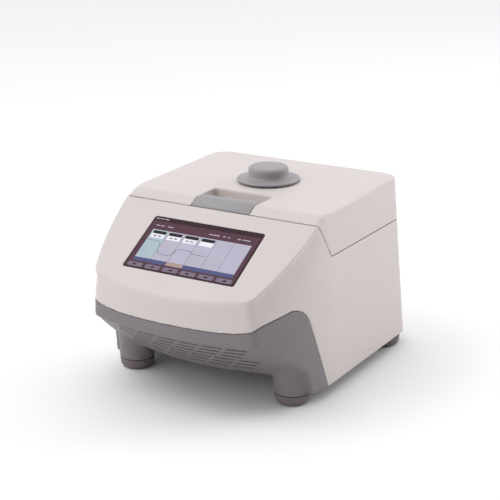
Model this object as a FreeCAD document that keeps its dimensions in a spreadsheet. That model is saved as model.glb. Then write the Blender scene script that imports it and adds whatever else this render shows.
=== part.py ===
import FreeCAD, Part
import math
import os
import re

import Sketcher
from FreeCAD import Placement, Rotation, Vector

# Thermal cycler: a bench instrument with a tilted touch screen, a hinged heated lid with a pressure
# knob, and a 96-well sample block cooled from below by two fans.
# Frame: X to the right, Y to the rear, Z up; origin on the bench under the middle. Millimetres.

SIZES = {
    # moulded outer form: its half width and its rear both lean inwards with height
    "body_half_width": 150.5, "side_lean": 0.0500, "body_rear": 183.1, "rear_lean": 0.0774,
    "body_front": 183.8, "front_bow": 390.0, "front_corner": 17.0, "side_bow": 338.0,
    "side_bow_start": 25.0, "rear_corner": 22.0, "wall": 2.6, "form_height": 250.0,
    "lid_top": 230.0, "lid_top_slope": 0.02, "body_bottom": 15.0, "gap": 0.8,
    # tilted front face and the screen in it
    "fascia_y": -117.2, "fascia_z": 185.0, "fascia_tilt": 30.4,
    "glass_width": 157.0, "glass_depth": 86.0, "glass_thick": 1.4, "glass_corner": 3.0,
    "display_width": 166.0, "display_depth": 98.0, "display_thick": 6.0,
    "window_width": 150.0, "window_depth": 80.0,
    # parting line of the lid
    "seam_z": 175.0, "seam_foot": -31.0, "seam_slope": 0.604, "seam_corner": 8.0,
    # grey base: parting line, chin slope, legs
    "part_line_z": 112.0, "part_rise_y": -174.0, "part_shoulder_y": -158.0,
    "part_shoulder_z": 122.0, "part_peak_y": -90.5, "part_peak_z": 132.5, "part_foot_y": -44.7,
    "part_foot_z": 3.0, "rise_round": 12.0, "shoulder_round": 30.0, "peak_round": 33.0,
    "chin_z": 95.0, "chin_round": 3.0, "pan_round": 10.0, "chin_y": -178.0,
    "chin_foot_y": -108.0, "pan_bottom": 34.0, "pan_thick": 3.0,
    "front_foot_x": 115.0, "front_foot_y": -78.8, "leg_radius": 22.5, "leg_bottom": 14.3,
    "leg_waist": 44.0, "leg_waist_radius": 23.5, "leg_top_x": 100.0, "leg_top_y": -105.0, "leg_top_z": 130.0, "leg_top_radius": 46.0,
    "ridge_top_y": -111.5, "ridge_foot_y": -81.5, "skirt_thick": 5.0, "lip_thick": 2.0,
    "lip_height": 3.0, "rear_foot_x": 126.5, "rear_foot_y": 151.0, "rear_leg_radius": 16.0,
    "foot_radius": 22.1, "foot_height": 14.0, "foot_round": 6.0, "foot_bore": 5.5,
    "vent_height": 2.4, "vent_pitch": 8.0, "vent_low": 46.0, "vent_rows": 6, "vent_length": 26.0,
    "vent_space": 5.0, "vent_columns": 6, "vent_shift": 9.0,
    # sample block stack
    "block_y": 61.6, "block_top": 174.0, "block_plate": 18.0, "block_flange": 4.0,
    "block_width": 112.0, "block_depth": 76.0, "flange_rim": 6.0,
    "well_pitch": 9.0, "well_columns": 12, "well_rows": 8, "well_radius": 3.2,
    "well_depth": 15.5, "well_taper": 8.5,
    "peltier_thick": 3.8, "peltier_side": 36.0, "sink_base": 12.0, "sink_half_width": 80.0,
    "sink_front": -2.0, "sink_rear": 125.0, "fin_bottom": 60.0, "fin_thick": 2.0, "fin_pitch": 6.0,
    "fin_half_span": 69.0, "fin_inset": 6.0, "post_radius": 4.0,
    "bezel_rim": 18.0, "bezel_gap": 2.0, "bezel_lip": 2.2, "deck_hole_margin": 10.0,
    # rear panel, fans and sockets, measured along the leaning rear wall
    "panel_half_width": 119.0, "panel_low": 38.0, "panel_high": 146.0, "panel_thick": 1.5,
    "panel_overlap": 6.0, "fan_x": 43.0, "fan_z": 94.0, "fan_side": 80.0, "fan_depth": 25.0,
    "fan_bore": 38.5, "rotor_radius": 37.0, "hub_radius": 16.0, "rotor_depth": 19.0,
    "axle_radius": 1.5, "running_gap": 0.06, "blade_count": 7,
    "socket_x": -98.0, "socket_z": 70.0, "switch_z": 113.0,
    "inlet_width": 29.0, "inlet_height": 46.0, "inlet_depth": 28.0,
    "pin_slot_width": 24.4, "pin_slot_height": 16.6, "pin_slot_depth": 16.0,
    "drawer_width": 21.0, "drawer_height": 9.0, "drawer_depth": 22.0,
    "rocker_radius": 8.0, "rocker_width": 11.0, "usb_x": 99.0, "usb_z": 108.0,
    # electronics
    "board_z": 92.0, "board_thick": 1.6, "board_half_width": 104.0, "board_front": -112.0,
    "board_rear": -14.0, "supply_half_width": 86.0, "supply_front": -86.0, "supply_rear": -18.0,
    "supply_bottom": 38.0, "supply_top": 79.0,
    # lid hinge
    "hinge_y": 169.8, "hinge_z": 175.0, "hinge_x": 82.0, "knuckle_radius": 5.0,
    "knuckle_length": 12.0, "hinge_pin_radius": 2.0, "hinge_room": 3.0, "notch_y": 156.0,
    "notch_height": 24.0, "cover_notch_y": 146.0,
    # knob, screw and heated plate
    "brim_radius": 40.8, "brim_bottom": 231.4, "brim_thick": 2.2, "knob_radius": 25.9,
    "knob_top": 249.0, "knob_boss": 11.0, "knob_boss_bottom": 222.6,
    "screw_radius": 6.0, "screw_bottom": 199.5, "screw_top": 240.0, "lid_hole": 14.0,
    "frame_z": 215.0, "frame_thick": 3.0, "frame_half_width": 112.0, "frame_front": 9.0,
    "frame_rear": 118.0, "frame_screw_x": 104.0, "frame_screw_front": 17.0,
    "frame_screw_rear": 109.0, "screw_post": 5.0, "bush_radius": 10.0, "guide_x": 52.0, "guide_y": 34.0,
    "guide_radius": 3.0, "guide_bush": 5.0, "holder_top": 204.5, "holder_bottom": 198.6,
    "plate_bottom": 188.0, "plate_thick": 6.0, "plate_width": 118.0, "plate_depth": 82.0,
    "film_thick": 1.2, "rim_thick": 4.5, "nut_height": 7.0,
    "cover_bottom": 178.0, "cover_thick": 2.5, "collar_top": 196.0, "collar_wall": 2.0,
    "cover_window_x": 66.0, "cover_window_y": 48.0, "cover_front": -28.0, "cover_rear": 158.0,
    "cover_post_x": 122.0, "cover_post_front": -2.0, "cover_post_rear": 128.0,
    # latch at the lid's front edge
    "latch_half_width": 41.5, "latch_y": -53.75, "latch_z": 219.18, "latch_nose": 2.6,
    "latch_pin_radius": 1.2, "latch_rear": -30.4, "latch_thick": 3.0, "latch_arm_x": 28.0,
    "latch_arm_width": 8.0, "scoop_rear": 1.0, "scoop_floor": 216.0, "scoop_wall": 1.6,
    "scoop_rim": 221.0, "latch_window": 212.0, "hook_hole_low": 184.0, "hook_hole_height": 12.0,
    "hook_low": 186.0, "hook_thick": 3.5, "catch_y": -58.0, "catch_low": 180.0, "catch_high": 202.0,
    "screw_head": 3.0, "screw_shank": 1.5,
}

doc = FreeCAD.newDocument("thermal_cycler")
sheet = doc.addObject("Spreadsheet::Sheet", "Sizes")
for row, (alias, number) in enumerate(SIZES.items(), start=1):
    sheet.set(f"A{row}", alias)
    sheet.set(f"B{row}", str(number))
    sheet.setAlias(f"B{row}", alias)
doc.recompute()

nodes = []


def size(alias):
    """A driving dimension, read from the sheet."""
    return float(sheet.get(alias))


def formula(text):
    """An expression in which each word is a cell of the sheet."""
    return re.sub(r"[a-z]\w*", lambda word: "Sizes." + word.group(), text)


def bind(item, **formulas):
    """Bind properties to the sheet; x, y and z are the item's position."""
    for key, text in formulas.items():
        path = f"Placement.Base.{key}" if key in "xyz" else key
        item.setExpression(path, formula(text))
    return item


def node(name, item, frame=None):
    """Name an item as a finished sub-part, and set it in a frame of its own where it leans."""
    item.Label = name
    if frame is not None:
        item.Placement = frame
    nodes.append(item)
    return item


# Building blocks: boxes, rods and booleans of Part, prisms and turned bodies of PartDesign.

def box(x, y, z):
    """A box between a low and a high formula on each axis."""
    solid = doc.addObject("Part::Box", "Box")
    bind(solid, Length=f"({x[1]}) - ({x[0]})", Width=f"({y[1]}) - ({y[0]})",
         Height=f"({z[1]}) - ({z[0]})")
    return bind(solid, x=x[0], y=y[0], z=z[0])


def centred(half_x, half_y, z, x="0", y="0"):
    """A box centred on x, y."""
    return box((f"{x} - ({half_x})", f"{x} + ({half_x})"),
               (f"{y} - ({half_y})", f"{y} + ({half_y})"), z)


def rod(radius, x, y, z):
    """A cylinder along the axis whose limits are a pair; the other two are its centre."""
    solid = doc.addObject("Part::Cylinder", "Rod")
    spans = {"x": x, "y": y, "z": z}
    along = next(key for key, value in spans.items() if isinstance(value, tuple))
    turn = {"x": Rotation(Vector(0, 1, 0), 90), "y": Rotation(Vector(1, 0, 0), -90),
            "z": Rotation()}[along]
    solid.Placement = Placement(Vector(), turn)
    low, high = spans[along]
    bind(solid, Radius=radius, Height=f"({high}) - ({low})")
    spans[along] = low
    return bind(solid, **spans)


def fuse(*items):
    solid = doc.addObject("Part::MultiFuse", "Fuse")
    solid.Shapes = list(items)
    return solid


def cut(base, *tools):
    solid = doc.addObject("Part::Cut", "Cut")
    solid.Base = base
    solid.Tool = tools[0] if len(tools) == 1 else fuse(*tools)
    return solid


def common(*items):
    solid = doc.addObject("Part::MultiCommon", "Common")
    solid.Shapes = list(items)
    return solid


def group(*items):
    """Separate solids kept as one sub-part, such as a set of equal screws."""
    solid = doc.addObject("Part::Compound", "Group")
    solid.Links = list(items)
    return solid


def made(shape):
    """An item whose shape is worked out by a function below from sizes in the sheet."""
    solid = doc.addObject("Part::Feature", "Form")
    solid.Shape = shape
    return solid


def plane(body, role):
    return next(item for item in body.Origin.OriginFeatures if item.Role == role)


def pinned_outline(body, role, corners):
    """A closed sketch of straight lines whose every corner is held by two formulas."""
    sketch = body.newObject("Sketcher::SketchObject", "Outline")
    sketch.AttachmentSupport = [(plane(body, role), "")]
    sketch.MapMode = "FlatFace"
    count = len(corners)
    turns = [math.tau * i / count for i in range(count)]
    spots = [Vector(math.cos(turn), math.sin(turn), 0) for turn in turns]
    for i in range(count):
        sketch.addGeometry(Part.LineSegment(spots[i], spots[(i + 1) % count]), False)
    for i in range(count):
        sketch.addConstraint(Sketcher.Constraint("Coincident", i, 2, (i + 1) % count, 1))
    for i, corner in enumerate(corners):
        for kind, text in zip(("DistanceX", "DistanceY"), corner):
            held = sketch.addConstraint(Sketcher.Constraint(kind, -1, 1, i, 1, 1.0))
            sketch.setExpression(f"Constraints[{held}]", formula(text))
    return sketch


def prism(role, corners, length, symmetric=True):
    """A padded outline on one of the body's origin planes."""
    body = doc.addObject("PartDesign::Body", "Prism")
    pad = body.newObject("PartDesign::Pad", "Pad")
    pad.Profile = pinned_outline(body, role, corners)
    pad.SideType = "Symmetric" if symmetric else "One side"
    pad.setExpression("Length", formula(length))
    return body


def turned(corners, **position):
    """A body turned about its own Z axis from a half section of radius and height formulas."""
    body = doc.addObject("PartDesign::Body", "Turned")
    sketch = pinned_outline(body, "XZ_Plane", corners)
    turn = body.newObject("PartDesign::Revolution", "Turn")
    turn.Profile = sketch
    turn.ReferenceAxis = (sketch, ["V_Axis"])
    turn.Angle = 360
    return bind(body, **position)


def rounded_plate(width, depth, thick, corner, **position):
    """A plate centred on its own origin with rounded upright corners."""
    body = prism("XY_Plane", [(f"-({width})/2", f"-({depth})/2"), (f"({width})/2", f"-({depth})/2"),
                              (f"({width})/2", f"({depth})/2"), (f"-({width})/2", f"({depth})/2")],
                 thick, symmetric=False)
    doc.recompute()
    pad = body.Tip
    upright = [f"Edge{i}" for i, edge in enumerate(pad.Shape.Edges, start=1)
               if abs(edge.BoundBox.ZLength - pad.Shape.BoundBox.ZLength) < 1e-6]
    fillet = body.newObject("PartDesign::Fillet", "Corners")
    fillet.Base = (pad, upright)
    fillet.setExpression("Radius", formula(corner))
    return bind(body, **position)


def mirrored_pairs(maker, xs, ys):
    """The same small item at each x and each y."""
    return [maker(x, y) for x in xs for y in ys]


def hanging_screw(x, y, low, shank):
    """A small screw that is put in from below: a round head under a plain shank."""
    return fuse(rod("screw_shank", x, y, (low, f"{low} + {shank}")),
                rod("screw_head", x, y, (f"{low} - 2", low)))


# Outer form: a drafted plan outline ruled between two levels, under the tilted face and the lid top.

def circle_meeting(centre_a, radius_a, centre_b, radius_b):
    """The crossing of two circles that lies nearer the front."""
    dx = centre_b[0] - centre_a[0]
    dy = centre_b[1] - centre_a[1]
    apart = math.hypot(dx, dy)
    along = (radius_a**2 - radius_b**2 + apart**2) / (2 * apart)
    aside = math.sqrt(radius_a**2 - along**2)
    middle = (centre_a[0] + along * dx / apart, centre_a[1] + along * dy / apart)
    points = [(middle[0] + side * aside * dy / apart, middle[1] - side * aside * dx / apart)
              for side in (1, -1)]
    return min(points, key=lambda point: point[1])


def toward(centre, radius, point):
    """The point of a circle in the direction of another point."""
    dx = point[0] - centre[0]
    dy = point[1] - centre[1]
    apart = math.hypot(dx, dy)
    return (centre[0] + radius * dx / apart, centre[1] + radius * dy / apart)


def plan_outline(level, inset):
    """The body's outline at a level: bowed front, rounded front corners, bowed sides, flat rear."""
    half = size("body_half_width") - size("side_lean") * level
    rear = size("body_rear") - size("rear_lean") * level
    bow, corner = size("front_bow"), size("front_corner")
    side, rear_corner = size("side_bow"), size("rear_corner")
    side_start = -size("side_bow_start")
    side_centre = (half - side, side_start)
    bow_centre = (0.0, bow - size("body_front"))
    corner_centre = circle_meeting(side_centre, side - corner, bow_centre, bow - corner)
    rear_centre = (half - rear_corner, rear - rear_corner)
    bow_end = toward(bow_centre, bow - inset, corner_centre)
    corner_end = toward(side_centre, side - inset, corner_centre)

    def flip(point):
        return (-point[0], point[1])

    def at(point):
        return Vector(point[0], point[1], level)

    def arc(centre, radius, start, end):
        middle = toward(centre, radius, ((start[0] + end[0]) / 2, (start[1] + end[1]) / 2))
        return Part.Arc(at(start), at(middle), at(end)).toShape()

    def line(start, end):
        return Part.LineSegment(at(start), at(end)).toShape()

    side_top = (half - inset, side_start)
    side_end = (half - inset, rear - rear_corner)
    rear_end = (half - rear_corner, rear - inset)
    return Part.Wire([
        arc(bow_centre, bow - inset, flip(bow_end), bow_end),
        arc(corner_centre, corner - inset, bow_end, corner_end),
        arc(side_centre, side - inset, corner_end, side_top),
        line(side_top, side_end),
        arc(rear_centre, rear_corner - inset, side_end, rear_end),
        line(rear_end, flip(rear_end)),
        arc(flip(rear_centre), rear_corner - inset, flip(rear_end), flip(side_end)),
        line(flip(side_end), flip(side_top)),
        arc(flip(side_centre), side - inset, flip(side_top), flip(corner_end)),
        arc(flip(corner_centre), corner - inset, flip(corner_end), flip(bow_end)),
    ])


FAR = 400.0     # beyond the body on every side
TALL = 60.0     # a cut that starts inside the lid and passes its top


def side_face(corners, offset=0.0):
    """A face in the YZ plane: each corner is y, z and the radius that rounds it, and offset grows
    the whole outline."""
    edges = []
    ends = []
    count = len(corners)
    for i in range(count):
        here = Vector(0, corners[i][0], corners[i][1])
        radius = corners[i][2] if len(corners[i]) > 2 else 0.0
        if radius == 0.0:
            ends.append((here, here, None))
            continue
        before = Vector(0, *corners[i - 1][:2])
        after = Vector(0, *corners[(i + 1) % count][:2])
        back = (before - here).normalize()
        on = (after - here).normalize()
        half_angle = back.getAngle(on) / 2
        reach = radius / math.tan(half_angle)
        centre = here + (back + on).normalize() * (radius / math.sin(half_angle))
        middle = centre + (here - centre).normalize() * radius
        ends.append((here + back * reach, here + on * reach, middle))
    for i in range(count):
        start, end, middle = ends[i]
        if middle is not None:
            edges.append(Part.Arc(start, middle, end).toShape())
        edges.append(Part.LineSegment(end, ends[(i + 1) % count][0]).toShape())
    wire = Part.Wire(edges)
    if offset:
        wire = wire.makeOffset2D(offset)
    return Part.Face(wire)


def side_prism(corners, offset=0.0, half_width=FAR):
    """A prism from an outline in the YZ plane, the same to both sides of the middle."""
    face = side_face(corners, offset).translated(Vector(-half_width, 0, 0))
    return face.extrude(Vector(2 * half_width, 0, 0))


def envelope(inset=0.0):
    """The whole outer form as one solid, or the same form with its walls moved inwards."""
    walls = Part.makeLoft([plan_outline(0.0, inset), plan_outline(size("form_height"), inset)],
                          True, True)
    rise = math.tan(math.radians(size("fascia_tilt")))
    slope = size("lid_top_slope")
    face_z = size("fascia_z") - inset / math.cos(math.radians(size("fascia_tilt")))
    top_z = size("lid_top") - inset

    def face_at(y):
        return face_z + rise * (y - size("fascia_y"))

    def top_at(y):
        return top_z + slope * (y - size("block_y"))

    bend_y = (top_at(0) - face_at(0)) / (rise - slope)
    profile = [(-FAR, -FAR), (-FAR, face_at(-FAR)), (bend_y, top_at(bend_y)),
               (FAR, top_at(FAR)), (FAR, -FAR)]
    return walls.common(side_prism(profile))


def seam_y(level, behind=0.0):
    """Where the sloping seam in front of the lid stands at a level, moved square to itself."""
    slope = size("seam_slope")
    return size("seam_foot") - slope * (level - size("seam_z")) + behind * math.hypot(1, slope)


def lid_zone(offset=0.0):
    """The space of the lid: behind the sloping seam and above the level one."""
    level = size("seam_z")
    return side_prism([(seam_y(FAR), FAR), (seam_y(level), level, size("seam_corner")),
                       (FAR, level), (FAR, FAR)], offset)


def base_zone(offset=0.0):
    """The space of the grey base: under a front line that is level, rises round the corner to a
    rounded peak on the side, and falls in a straight slant past the bottom edge."""
    line, foot = size("part_line_z"), size("part_foot_y")
    return side_prism([(-FAR, line), (size("part_rise_y"), line, size("rise_round")),
                       (size("part_shoulder_y"), size("part_shoulder_z"), size("shoulder_round")),
                       (size("part_peak_y"), size("part_peak_z"), size("peak_round")),
                       (foot, size("part_foot_z")), (foot, -FAR), (-FAR, -FAR)], offset)


BOW_CENTRE = Vector(0, size("front_bow") - size("body_front"), 0)


def under_chin(offset=0.0):
    """The open space below the chin's slope and the bottom pan. The slope follows the bowed front,
    so its profile is turned about the upright axis of that bow."""
    pan, level = size("pan_bottom"), size("chin_z")
    profile = side_face([(-FAR, level), (size("chin_y"), level, size("chin_round")),
                         (size("chin_foot_y"), pan, size("pan_round")), (0.0, pan),
                         (0.0, -FAR), (-FAR, -FAR)], offset)
    return profile.revolve(BOW_CENTRE, Vector(0, 0, 1), 360)


def slab(low, high):
    """Everything between two levels."""
    return Part.makeBox(2 * FAR, 2 * FAR, high - low, Vector(-FAR, -FAR, low))


FASCIA = Placement(Vector(0, size("fascia_y"), size("fascia_z")),
                   Rotation(Vector(1, 0, 0), size("fascia_tilt")))
# In the rear frame Y points out of the leaning rear wall and Z climbs along it.
REAR = Placement(Vector(0, size("body_rear"), 0),
                 Rotation(Vector(1, 0, 0), math.degrees(math.atan(size("rear_lean")))))

outer = envelope()
inner = envelope(size("wall"))


def placed_box(frame, x, y, z):
    """A box given by limits in a leaning frame."""
    solid = Part.makeBox(x[1] - x[0], y[1] - y[0], z[1] - z[0], Vector(x[0], y[0], z[0]))
    return solid.transformed(frame.toMatrix())


def both_sides(shape):
    """A shape and its mirror image in the middle plane."""
    return [shape, shape.mirror(Vector(), Vector(1, 0, 0))]


def main_housing():
    """White shell: side and rear walls, tilted face, the wall behind it and the deck."""
    wall, gap = size("wall"), size("gap")
    block_y = size("block_y")
    solid = outer.cut(lid_zone(gap / 2))
    hollow = inner.cut(lid_zone(gap / 2 + wall))
    shell = solid.cut(hollow).common(slab(size("body_bottom"), size("form_height")))
    shell = shell.cut(base_zone(gap / 2))
    glass_x = size("glass_width") / 2 + 0.3
    glass_y = size("glass_depth") / 2 + 0.3
    recess = placed_box(FASCIA, (-glass_x, glass_x), (-glass_y, glass_y),
                        (-size("glass_thick") - 0.1, 5.0))
    window = placed_box(FASCIA, (-size("window_width") / 2, size("window_width") / 2),
                        (-size("window_depth") / 2, size("window_depth") / 2), (-9.0, 5.0))
    deck_x = size("block_width") / 2 + size("deck_hole_margin")
    deck_y = size("block_depth") / 2 + size("deck_hole_margin")
    deck_hole = Part.makeBox(2 * deck_x, 2 * deck_y, 30, Vector(-deck_x, block_y - deck_y,
                                                                size("seam_z") - 15))
    panel_x = size("panel_half_width") - size("panel_overlap")
    panel_hole = placed_box(REAR, (-panel_x, panel_x), (-3 * wall, wall),
                            (size("panel_low") + size("panel_overlap"),
                             size("panel_high") - size("panel_overlap")))
    cuts = [recess, window, deck_hole, panel_hole]
    notch_half = size("knuckle_length") + size("hinge_room")
    notch = Part.makeBox(2 * notch_half, size("body_rear") - size("notch_y"),
                         size("notch_height"),
                         Vector(size("hinge_x") - notch_half, size("notch_y"),
                                size("hinge_z") - size("notch_height") / 2))
    cuts += both_sides(notch)
    cuts += hook_holes(2.0, 10.0)
    for cutter in cuts:
        shell = shell.cut(cutter)
    return shell


def hook_holes(room_beside, room_before):
    """Openings in the two facing walls at the seam, through which the latch's hooks pass."""
    low = size("hook_hole_low")
    half = size("latch_arm_width") / 2 + room_beside
    middle = seam_y(low + size("hook_hole_height") / 2)
    return both_sides(Part.makeBox(2 * half, 20, size("hook_hole_height"),
                                   Vector(size("latch_arm_x") - half, middle - room_before, low)))


def base_chassis():
    """Grey base: chin with its vents, bottom pan, side skirts, front legs and rear leg bosses."""
    wall, gap = size("wall"), size("gap")
    thick = size("pan_thick")
    zone = base_zone(-gap / 2)
    chin = outer.common(zone).cut(under_chin())
    hollow = envelope(thick).cut(under_chin(thick))
    chin = chin.cut(hollow)
    pan_level = size("pan_bottom")
    within = envelope(wall + gap / 2)
    pan = within.common(slab(pan_level, pan_level + thick)).cut(under_chin())
    top, bottom = size("leg_top_z"), size("body_bottom")
    ridge = side_prism([(size("ridge_top_y"), top), (size("ridge_foot_y"), bottom),
                        (FAR, bottom), (FAR, top)])
    skirt = outer.cut(envelope(size("skirt_thick"))).common(zone).common(ridge)
    skirt = skirt.common(slab(bottom, size("form_height")))
    foot_x, foot_y = size("front_foot_x"), size("front_foot_y")

    def ring(x, y, level, radius):
        return Part.Wire(Part.makeCircle(radius, Vector(x, y, level)))

    def screw_bore(x, y):
        return Part.makeCylinder(size("screw_shank") + 1.0, pan_level, Vector(x, y, 0))

    leg = Part.makeLoft([ring(foot_x, foot_y, size("leg_bottom"), size("leg_radius")),
                         ring(foot_x, foot_y, size("leg_waist"), size("leg_waist_radius")),
                         ring(size("leg_top_x"), size("leg_top_y"), top,
                              size("leg_top_radius"))], True, True)
    leg = leg.common(outer).common(zone).common(slab(0, size("chin_z")))
    web = Part.makeBox(FAR, FAR, pan_level - bottom + 1,
                       Vector(foot_x, foot_y - size("leg_radius") / 2, bottom))
    leg = leg.fuse(web.common(outer).common(zone).common(ridge)).cut(hollow)
    leg = leg.cut(screw_bore(foot_x, foot_y))
    rear_x, rear_y = size("rear_foot_x"), size("rear_foot_y")
    rear_leg = Part.makeCylinder(size("rear_leg_radius"), pan_level - bottom + 1,
                                 Vector(rear_x, rear_y, bottom))
    rear_leg = rear_leg.common(within).cut(screw_bore(rear_x, rear_y))
    lip_inset = wall + gap / 2
    lip = within.cut(envelope(lip_inset + size("lip_thick"))).cut(under_chin())
    lip = lip.common(base_zone(size("lip_height"))).common(slab(pan_level, size("seam_z") - 20))
    shape = chin.fuse([pan, skirt, lip] + both_sides(leg) + both_sides(rear_leg)).removeSplitter()
    return shape.cut(Part.makeCompound(chin_vents()))


def chin_vents():
    """Rows of short slots through the chin's slope, staggered from row to row. Each is made on the
    middle plane and turned to its place about the axis of the bowed front."""
    length, height = size("vent_length"), size("vent_height")
    low, pan, foot_y = size("vent_low"), size("pan_bottom"), size("chin_foot_y")
    through = 8 * size("pan_thick")
    run = (size("chin_y") - foot_y) / (size("chin_z") - pan)
    pitch = length + size("vent_space")
    columns = int(size("vent_columns"))
    slots = []
    for row in range(int(size("vent_rows"))):
        level = low + row * size("vent_pitch")
        slope_y = foot_y + (level - pan) * run
        start = (row % 3 - 1) * size("vent_shift") - pitch * (columns - 1) / 2
        for column in range(columns):
            slot = Part.makeBox(length, through, height,
                                Vector(-length / 2, slope_y - through / 2, level))
            across = start + column * pitch
            turn = math.degrees(across / (BOW_CENTRE.y - slope_y))
            slot.rotate(BOW_CENTRE, Vector(0, 0, 1), turn)
            slots.append(slot)
    return slots


def lid_shell():
    """White lid cover with its front wall, the latch window, the finger scoop and screw posts."""
    wall, gap = size("wall"), size("gap")
    solid = outer.common(lid_zone(-gap / 2))
    behind = gap / 2 + wall
    hollow = inner.common(side_prism([(seam_y(FAR, behind), FAR), (seam_y(0.0, behind), 0.0),
                                      (FAR, 0.0), (FAR, FAR)]))
    shell = solid.cut(hollow)
    posts = screw_posts("frame_screw", size("frame_z") + size("frame_thick"))
    posts += screw_posts("cover_post", size("cover_bottom") + size("cover_thick"))
    half = size("latch_half_width") + gap
    scoop_wall, latch_rear = size("scoop_wall"), size("latch_rear")
    scoop_depth = size("scoop_rear") - latch_rear
    cup = Part.makeBox(2 * (half + scoop_wall), scoop_depth + 2 * scoop_wall, TALL,
                       Vector(-half - scoop_wall, latch_rear - scoop_wall,
                              size("scoop_floor") - scoop_wall))
    shell = shell.fuse([item.common(solid) for item in posts + [cup]])
    scoop = Part.makeBox(2 * half, scoop_depth, TALL, Vector(-half, latch_rear, size("scoop_floor")))
    window = Part.makeBox(2 * half, FAR, TALL,
                          Vector(-half, latch_rear - scoop_wall - FAR, size("latch_window")))
    low_rim = Part.makeBox(2 * half, 3 * scoop_wall, TALL,
                           Vector(-half, latch_rear - 2 * scoop_wall, size("scoop_rim")))
    pin_hole = Part.makeCylinder(size("latch_pin_radius"), 2 * half + 4,
                                 Vector(-half - 2, size("latch_y"), size("latch_z")),
                                 Vector(1, 0, 0))
    knob_hole = Part.makeCylinder(size("lid_hole"), TALL, Vector(0, size("block_y"), size("frame_z")))
    cuts = [scoop, window, low_rim, pin_hole, knob_hole]
    notch_half = size("knuckle_length") + size("hinge_room")
    cuts += both_sides(Part.makeBox(2 * notch_half, size("body_rear") - size("notch_y"),
                                    size("notch_height") / 2 + 1.0,
                                    Vector(size("hinge_x") - notch_half, size("notch_y"),
                                           size("hinge_z"))))
    cuts += hook_holes(1.0, 6.0)
    for cutter in cuts:
        shell = shell.cut(cutter)
    return shell.removeSplitter()


def screw_posts(place, bottom):
    """Four round posts that hang from the lid's top down to a level."""
    posts = []
    for y in (size(f"{place}_front"), size(f"{place}_rear")):
        posts += both_sides(Part.makeCylinder(size("screw_post"), FAR,
                                              Vector(size(f"{place}_x"), y, bottom)))
    return posts


def lid_inner_cover():
    """White tray that closes the lid from below, with a collar round the heated plate."""
    low, thick = size("cover_bottom"), size("cover_thick")
    inside = envelope(size("wall") + size("gap") / 2)
    plate = inside.common(slab(low, low + thick))
    front, rear = size("cover_front"), size("cover_rear")
    plate = plate.common(Part.makeBox(2 * FAR, rear - front, FAR, Vector(-FAR, front, 0)))
    wall = size("collar_wall")
    x, y, block_y = size("cover_window_x"), size("cover_window_y"), size("block_y")

    def upright(margin, bottom, top):
        return Part.makeBox(2 * (x + margin), 2 * (y + margin), top - bottom,
                            Vector(-x - margin, block_y - y - margin, bottom))

    cover = plate.fuse(upright(wall, low, size("collar_top")))
    cover = cover.cut(upright(0, low - 5, size("collar_top") + 5))
    notch_half = size("knuckle_length") + size("hinge_room")
    notch = Part.makeBox(2 * notch_half, FAR, FAR,
                         Vector(size("hinge_x") - notch_half, size("cover_notch_y"), 0))
    for hinge in both_sides(notch):
        cover = cover.cut(hinge)
    return cover


node("main_housing", made(main_housing()))
node("base_chassis", made(base_chassis()))
node("lid_shell", made(lid_shell()))
node("lid_inner_cover", made(lid_inner_cover()))


# Feet

def foot(x, y):
    """A rubber pad with a bevelled lower rim and a well for its screw."""
    return turned([("foot_bore", "0"), ("foot_radius - foot_round", "0"),
                   ("foot_radius - foot_round/4", "foot_round*0.75"),
                   ("foot_radius", "foot_round*1.5"), ("foot_radius", "foot_height"),
                   ("screw_shank + 1", "foot_height"), ("screw_shank + 1", "foot_height/2"),
                   ("foot_bore", "foot_height/2")], x=x, y=y)


def foot_screw(x, y):
    """A pan-head screw that holds a foot, its head up inside the foot's well."""
    return fuse(rod("foot_bore - 0.5", x, y, ("foot_height/2 - 2.5", "foot_height/2")),
                rod("screw_shank + 1", x, y, ("foot_height/2", "foot_height + 12")))


FRONT_FEET = (("-front_foot_x", "front_foot_x"), ("front_foot_y",))
REAR_FEET = (("-rear_foot_x", "rear_foot_x"), ("rear_foot_y",))
node("front_feet", group(*mirrored_pairs(foot, *FRONT_FEET)))
node("rear_feet", group(*mirrored_pairs(foot, *REAR_FEET)))
node("foot_screws", group(*mirrored_pairs(foot_screw, *FRONT_FEET),
                          *mirrored_pairs(foot_screw, *REAR_FEET)))


# Screen, in the frame of the tilted face

node("screen_glass", group(rounded_plate("glass_width", "glass_depth", "glass_thick - 0.1",
                                        "glass_corner", z="0 - glass_thick")), FASCIA)
node("display_module", fuse(
    centred("display_width/2", "display_depth/2", ("-wall - 0.2 - display_thick", "-wall - 0.2")),
    centred("window_width/2 - 0.5", "window_depth/2 - 0.5", ("-wall - 0.2", "-glass_thick - 0.1"))),
    FASCIA)
BRACKET_HOLES = (("-display_width/2 - 4", "display_width/2 + 4"), ("-40", "40"))


def bracket_hole(x, y):
    return rod("screw_shank", x, y, ("-wall - display_thick - 3", "-wall"))


node("display_bracket", cut(
    centred("display_width/2 + 8", "display_depth/2 + 6",
            ("-wall - display_thick - 2", "-wall - display_thick - 0.2")),
    centred("display_width/2 - 16", "display_depth/2 - 16", ("-wall - display_thick - 3", "-wall")),
    *mirrored_pairs(bracket_hole, *BRACKET_HOLES)), FASCIA)


def display_screw(x, y):
    return hanging_screw(x, y, "-wall - display_thick - 2", "6")


node("display_screws", group(*mirrored_pairs(display_screw, *BRACKET_HOLES)), FASCIA)


# Sample block and what carries and cools it

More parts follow.
